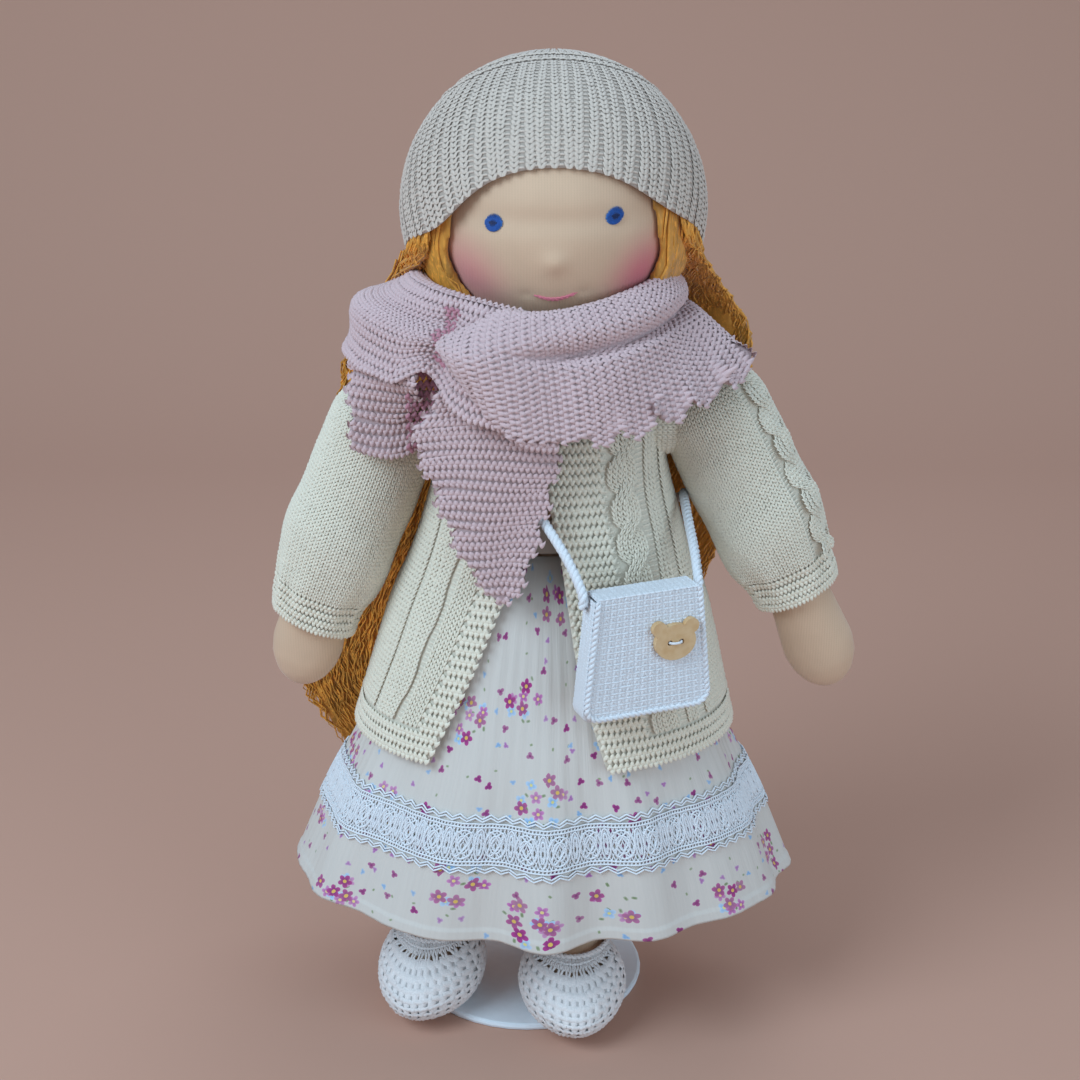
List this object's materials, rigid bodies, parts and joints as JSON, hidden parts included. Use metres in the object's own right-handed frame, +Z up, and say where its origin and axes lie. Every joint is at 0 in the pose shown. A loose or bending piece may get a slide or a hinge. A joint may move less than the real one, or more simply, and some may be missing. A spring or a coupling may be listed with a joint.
{
  "type": "waldorf doll",
  "caption": "Soft waldorf doll on a disc stand: knitted hat, garter shawl, cable cardigan, floral dress, shoulder bag and slippers, with swinging arms and legs.",
  "frame": {"origin": "centre of the stand disc's flat underside", "axes": "+Z up, -Y the way the doll faces, +X the doll's own left"},
  "size_m": [0.2384, 0.1468, 0.4007],
  "materials": {
    "stand_enamel": "pale blue-grey enamel, satin",
    "stand_steel": "bright drawn wire",
    "skin_jersey": "peach cotton jersey with fine ribs",
    "eye_thread": "blue satin stitch",
    "mouth_thread": "pink stem stitch",
    "mohair": "long wavy golden-ginger mohair",
    "hat_wool": "off-white wool, fine rib",
    "shawl_wool": "dusty pink wool, garter stitch",
    "cardigan_wool": "cream wool, stocking stitch with cables",
    "dress_cotton": "off-white crinkle cotton with small scattered flowers",
    "lace_cotton": "white cotton bobbin lace",
    "bag_cotton": "white cotton crochet",
    "shoe_cotton": "white to pale pink crochet",
    "button_wood": "plain birch"
  },
  "bodies": {
    "stand": {"stand_base": "stand_enamel", "stand_post": "stand_enamel"},
    "doll": {"stand_rod": "stand_steel", "stand_waist_clip": "stand_steel", "torso": "skin_jersey", "head": "skin_jersey", "left_eye": "eye_thread", "right_eye": "eye_thread", "mouth": "mouth_thread", "wig_cap": "mohair", "hair_fall": "mohair", "dress_bodice": "dress_cotton", "dress_skirt": "dress_cotton", "skirt_lace": "lace_cotton", "cardigan_body": "cardigan_wool", "shawl": "shawl_wool", "shawl_side_tail": "shawl_wool", "bag_strap": "bag_cotton"},
    "woolly_hat": {"hat": "hat_wool"},
    "arm_left": {"left_arm": "skin_jersey", "left_sleeve": "cardigan_wool"},
    "arm_right": {"right_arm": "skin_jersey", "right_sleeve": "cardigan_wool"},
    "leg_left": {"left_leg": "skin_jersey", "left_shoe": "shoe_cotton"},
    "leg_right": {"right_leg": "skin_jersey", "right_shoe": "shoe_cotton"},
    "bag": {"bag_pouch": "bag_cotton"},
    "flap": {"bag_flap": "bag_cotton", "bear_button": "button_wood", "button_thread": "bag_cotton"}
  },
  "joints": [
    {"name": "stand_height", "type": "slide", "parent": "stand", "child": "doll", "axis": [0, 0, 1], "range_m": [0, 0.04]},
    {"name": "hat_off", "type": "slide", "parent": "doll", "child": "woolly_hat", "axis": [0, 0.5446, 0.8387], "range_m": [0, 0.12]},
    {"name": "left_shoulder", "type": "hinge", "parent": "doll", "child": "arm_left", "pos_m": [0.074, -0.018, 0.262], "axis": [-1, 0, 0], "range_deg": [-15, 75]},
    {"name": "right_shoulder", "type": "hinge", "parent": "doll", "child": "arm_right", "pos_m": [-0.056, -0.018, 0.256], "axis": [-1, 0, 0], "range_deg": [-15, 75], "deforming": ["shawl_side_tail"]},
    {"name": "left_hip", "type": "hinge", "parent": "doll", "child": "leg_left", "pos_m": [0.03, -0.018, 0.15], "axis": [-1, 0, 0], "range_deg": [0, 20]},
    {"name": "right_hip", "type": "hinge", "parent": "doll", "child": "leg_right", "pos_m": [-0.014, -0.018, 0.15], "axis": [-1, 0, 0], "range_deg": [0, 20]},
    {"name": "bag_swing", "type": "hinge", "parent": "doll", "child": "bag", "pos_m": [0.0435, -0.0736, 0.21], "axis": [-0.9272, -0.3746, 0], "range_deg": [0, 25]},
    {"name": "flap_lift", "type": "hinge", "parent": "bag", "child": "flap", "pos_m": [0.04163, -0.06896, 0.2111], "axis": [-0.9272, -0.3746, 0], "range_deg": [0, 110]}
  ]
}
